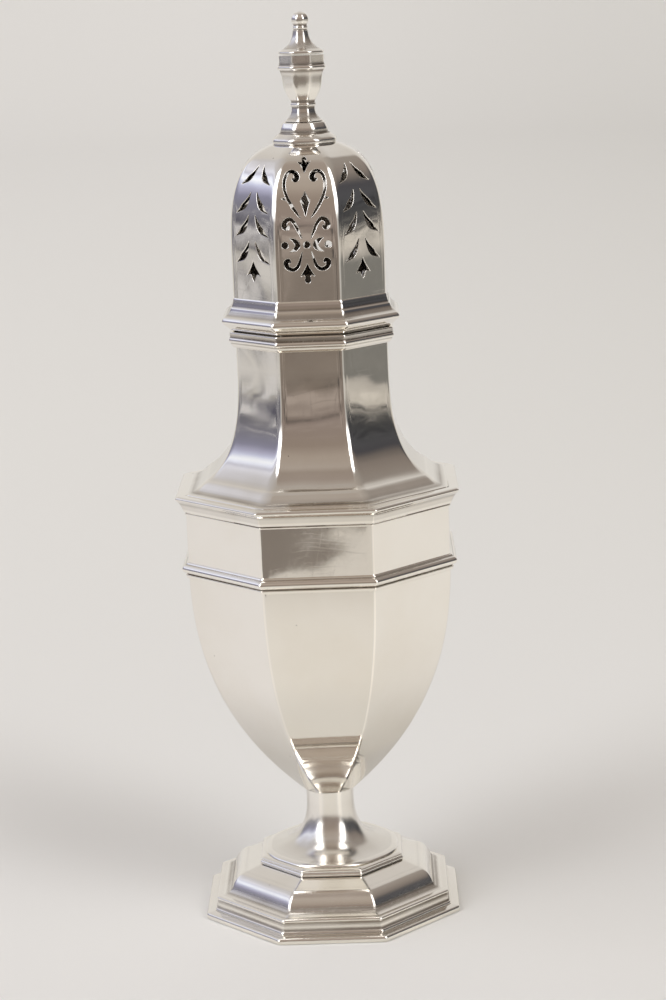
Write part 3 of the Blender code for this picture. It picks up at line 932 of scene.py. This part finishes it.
def panel_net(skin, rows, outlines):
    """A panel laid flat: points as (across, up the profile), triangles, outlines of holes."""
    rims = [np.stack([outline[:, 0], skin.along(outline[:, 1])], 1) for outline in outlines]
    rims = [rim if runs_anticlockwise(rim) else rim[::-1] for rim in rims]
    sides = np.array([skin.side(place) for place in rows])
    steps = np.arange(DOME_FLAT_STEPS + 1) * 2 / DOME_FLAT_STEPS - 1
    border = [(sides[0] * step, rows[0]) for step in steps]
    border += [(side, place) for side, place in zip(sides[1:], rows[1:])]
    border += [(sides[-1] * step, rows[-1]) for step in steps[-2::-1]]
    border += [(-side, place) for side, place in zip(sides[-2:0:-1], rows[-2:0:-1])]
    loops = [np.array(border)] + [widened(rim, EDGE) for rim in rims]
    collars = [widened(rim, COLLAR) for rim in rims]
    points, edges = [], []
    for loop in loops + collars:
        first = len(points)
        points += loop.tolist()
        edges += [(first + i, first + (i + 1) % len(loop)) for i in range(len(loop))]
    lines = np.array(points)
    for row, place in enumerate(np.arange(rows[0] + NET, rows[-1] - NET / 2, NET)):
        reach = skin.side(place) - NET_INSET
        count = max(2, int(2 * reach / NET))
        for x in np.linspace(-reach, reach, count + row % 2):
            if np.min(np.hypot(*(lines - (x, place)).T)) > NET_CLEAR and not any(
                    inside(rim, x, place)[0] for rim in rims):
                points.append((x, place))
    made = geometry.delaunay_2d_cdt([Vector(p) for p in points], edges, [], 1, 1e-5)
    points, triangles = np.array([tuple(v) for v in made[0]]), np.array(made[2])
    x, place = points[triangles].mean(axis=1).T
    keep = np.ones(len(triangles), bool)
    for loop in loops[1:]:
        keep &= ~inside(loop, x, place)
    used, triangles = np.unique(triangles[keep], return_inverse=True)
    points, triangles = points[used], triangles.reshape(-1, 3).tolist()
    return points, triangles, openings(points, triangles)


def openings(points, triangles):
    """Outlines of the holes in a flat net, each anticlockwise."""
    edges = {(face[i], face[(i + 1) % 3]) for face in triangles for i in range(3)}
    ahead = {start: [] for start, _ in edges}
    for start, end in sorted(edges):
        if (end, start) not in edges:
            ahead[start].append(end)
    loops = []
    for first in sorted(ahead):
        while ahead[first]:
            loop = [first]
            while loop[-1] != first or len(loop) == 1:
                loop.append(ahead[loop[-1]].pop())
            loops.append(points[loop[:-1]])
    return [loop[::-1] for loop in loops if not runs_anticlockwise(loop)]


def widened(loop, distance):
    """Anticlockwise loop with every point moved outward."""
    along = np.roll(loop, -1, axis=0) - np.roll(loop, 1, axis=0)
    along /= np.maximum(np.linalg.norm(along, axis=1, keepdims=True), 1e-9)
    return loop + np.stack([along[:, 1], -along[:, 0]], 1) * distance


def inside(loop, x, y):
    """Which of the points the loop winds round."""
    x, y = np.atleast_1d(x)[:, None], np.atleast_1d(y)[:, None]
    ends = np.roll(loop, -1, axis=0)
    crosses = (loop[:, 1] > y) != (ends[:, 1] > y)
    rise = np.where(ends[:, 1] == loop[:, 1], 1.0, ends[:, 1] - loop[:, 1])
    where = loop[:, 0] + (y - loop[:, 1]) * (ends[:, 0] - loop[:, 0]) / rise
    return (crosses & (x < where)) @ np.sign(rise) != 0


class Parts:
    """Vertices and faces, gathered part by part, and how far each vertex is darkened: tarnished
    hollows, painted shade on the dome's inside.
    """

    def __init__(self):
        self.verts, self.faces, self.hollow = [], [], []

    def add(self, places, faces, flip=False, hollow=0.0):
        first = len(self.verts)
        self.verts += places
        self.hollow += [hollow] * len(places)
        self.faces += [tuple(first + i for i in (face[::-1] if flip else face))
                       for face in faces]

    def add_sheet(self, skin, points, faces, angle, turn=0.0):
        """Both sides of a sheet: bright outside, and inside darkened all over as painted shade,
        with some tarnishing.
        """
        self.add(skin.places(points, angle, 0.0, turn), faces)
        self.add(skin.places(points, angle, DOME_SHEET, turn), faces, flip=True, hollow=1.0)

    def join(self, rows):
        """Quads between open rows of places."""
        self.add(sum(rows, []), grid(len(rows), len(rows[0])))


def dome_panel(parts, skin, net, angle):
    """Pierced panel, and the walls of its holes with their rounded edges."""
    points, triangles, holes = net
    parts.add_sheet(skin, points, triangles, angle)
    curve = [(EDGE * math.sin(t), EDGE * (1 - math.cos(t)))
             for t in (0.0, math.pi / 6, math.pi / 3, math.pi / 2)]
    wall = curve + [(inset, DOME_SHEET - deep) for inset, deep in reversed(curve)]
    for hole in holes:
        size = len(hole)
        rings = [skin.places(widened(hole, -inset), angle, deep) for inset, deep in wall]
        quads = [(r * size + i, (r + 1) * size + i, (r + 1) * size + (i + 1) % size,
                  r * size + (i + 1) % size) for r in range(len(wall) - 1) for i in range(size)]
        parts.add(sum(rings, []), quads, flip=True)


def dome_ends(parts, skin, angle, arc, top):
    """The lower edge of a panel and its arris, and the crown in to the pin's hole."""
    side = skin.side(0.0)
    across = [side * (2 * i / DOME_FLAT_STEPS - 1) for i in range(DOME_FLAT_STEPS)]
    across = np.array(across + [side] * len(arc))
    turn = np.concatenate([np.zeros(DOME_FLAT_STEPS), arc])
    foot = np.stack([across, np.zeros(len(across))], 1)
    parts.join([skin.places(foot, angle, depth, turn) for depth in (DOME_SHEET, 0.0)])
    end = skin.place[-1]
    crown = np.stack([across * (skin.side(end) / side), np.full(len(across), end)], 1)
    outer, inner = (skin.places(crown, angle, depth, turn) for depth in (0.0, DOME_SHEET))
    hole = [(x * PIN_HOLE_R / math.hypot(x, y), y * PIN_HOLE_R / math.hypot(x, y))
            for x, y, _ in outer]
    parts.join([outer, [(x, y, top) for x, y in hole],
                [(x, y, top - DOME_SHEET) for x, y in hole], inner])


def pierced_dome(material):
    low, top, _ = span("pierced_dome")
    skin = DomeSkin(low - DOME_LAP, top)
    rows = np.linspace(0.0, skin.place[-1], math.ceil(skin.place[-1] / DOME_ROW) + 1)
    nets = [panel_net(skin, rows, outlines) for outlines in (scroll_panel(), leaf_panel())]
    arc = np.arange(DOME_ARC_STEPS + 1) * 2 * HALF_STEP / DOME_ARC_STEPS
    arris = np.array([(skin.side(place), place) for place in rows for _ in arc])
    parts = Parts()
    for panel in range(SIDES):
        angle = panel * 2 * HALF_STEP - math.pi / 2
        dome_panel(parts, skin, nets[panel % 2], angle)
        parts.add_sheet(skin, arris, grid(len(rows), len(arc)), angle, np.tile(arc, len(rows)))
        dome_ends(parts, skin, angle, arc, top)
    mesh = make_mesh("pierced_dome_piece", parts.verts, parts.faces, parts.hollow,
                     [0.0] * len(parts.verts))
    shape = bmesh.new()
    shape.from_mesh(mesh)
    bmesh.ops.remove_doubles(shape, verts=shape.verts[:], dist=MERGED)
    shape.to_mesh(mesh)
    shape.free()
    make_piece(mesh, "pierced_dome", "cover", material)


def finial(material, inner_material):
    options = {"body": "cover", "slot": "cover_silver", "material": material, "closed": False,
               "longest": 0.5, "flat_steps": 8, "arc_steps": 5}
    low, top, _ = span("finial_pin")
    turned("pin_piece", "finial_pin", "cover", "inner_silver", inner_material, [
        (0.0, low), (1.8, low, 0.1), (2.3, low + 0.5, 0.2), (2.3, low + 0.9, 0.1),
        (1.25, low + 0.9, 0.05), (1.25, top, 0.1), (0.0, top)], closed=False, corner=0.5,
        longest=0.8, flat_steps=4, arc_steps=3)
    low, top, _ = span("finial_plinth")
    turned("plinth_piece", "finial_plinth", points=[
        (0.0, low + 3.1), (1.55, low + 3.1), (1.55, low - 0.25), (7.0, low - 0.25, 0.15),
        (7.2, low + 0.7, 0.8), (6.2, low + 1.5, 0.5), (5.75, low + 1.75, 0.4),
        (5.2, low + 1.95, 0.3), (5.3, low + 2.8, 0.7), (4.7, top, 0.5), (4.2, top + 0.1, 0.2),
        (3.2, top + 0.25), (0.0, top + 0.25)], corner=lambda flat: 0.5 * flat, **options)
    low, top, _ = span("finial_urn")
    turned("urn_piece", "finial_urn", points=[
        (0.0, low - 0.1), (4.3, low - 0.1, 0.1), (3.35, low + 0.55, 0.5),
        (2.75, low + 1.3, 0.6), (2.6, low + 2.2, 0.5),
        (2.45, low + 2.7, 0.2), (2.8, low + 3.1, 0.2), (2.8, low + 3.4, 0.2),
        (2.5, low + 3.75, 0.2), (2.9, low + 4.3, 0.5), (3.45, low + 5.2, 0.5),
        (3.95, low + 6.2, 0.6), (4.25, low + 7.4, 0.8), (4.5, low + 9.2, 0.8),
        (4.85, low + 10.2, 0.4), (5.3, low + 10.5, 0.25), (5.3, low + 10.95, 0.25),
        (4.95, low + 11.2, 0.2), (5.0, top + 0.05), (0.0, top + 0.05)],
        corner=lambda flat: 0.42 * flat, wave=0.02, **options)
    low, top, _ = span("finial_lid")
    lid = [(0.0, low), (4.85, low, 0.05), (5.0, low + 0.15, 0.1), (5.0, low + 0.5, 0.15),
           (4.6, low + 0.75, 0.1)]
    lid += bezier((3.8, low + 1.1), (2.4, low + 1.9), (1.75, low + 3.2), (1.7, low + 4.6), 14)
    lid += [(1.45, low + 4.8, 0.1), (1.7, low + 5.2, 0.2), (1.4, low + 5.7, 0.2),
            (1.85, low + 6.4, 0.4), (1.9, low + 7.1, 0.5), (1.45, low + 7.95, 0.5),
            (0.7, top - 0.1, 0.4), (0.0, top)]
    turned("lid_piece", "finial_lid", points=lid, corner=lambda flat: 0.62 * flat, **options)


def bowl_floor(inner_material):
    low, top, radius = span("bowl_floor")
    turned("bowl_floor_piece", "bowl_floor", "body", "inner_silver", inner_material, [
        (0.0, low), (radius - 0.9, low, 0.1), (radius, top, 0.1), (0.0, top)], closed=False,
        corner=0.8, longest=0.8, flat_steps=6, arc_steps=4)


def main():
    scene = bpy.context.scene
    scene.view_settings.view_transform = "Standard"
    make_camera()
    studio()
    make_floor()
    area_light("key", (-1.95, -0.3, 2.6), 10.9)
    area_light("fill", (1.75, -1.1, 2.5), 11.7)
    polished = silver("polished_silver", SILVER, 0.05, 0.85)
    worn = silver("worn_silver", SILVER, 0.165, 0.85)
    inner = silver("inner_silver", (0.62, 0.58, 0.52), 0.30, 0.9)
    foot(worn)
    stem(worn)
    bowl(polished)
    body_wall(polished)
    neck(polished)
    bowl_floor(inner)
    cover_base(polished, inner)
    pierced_dome(polished)
    finial(worn, inner)


main()
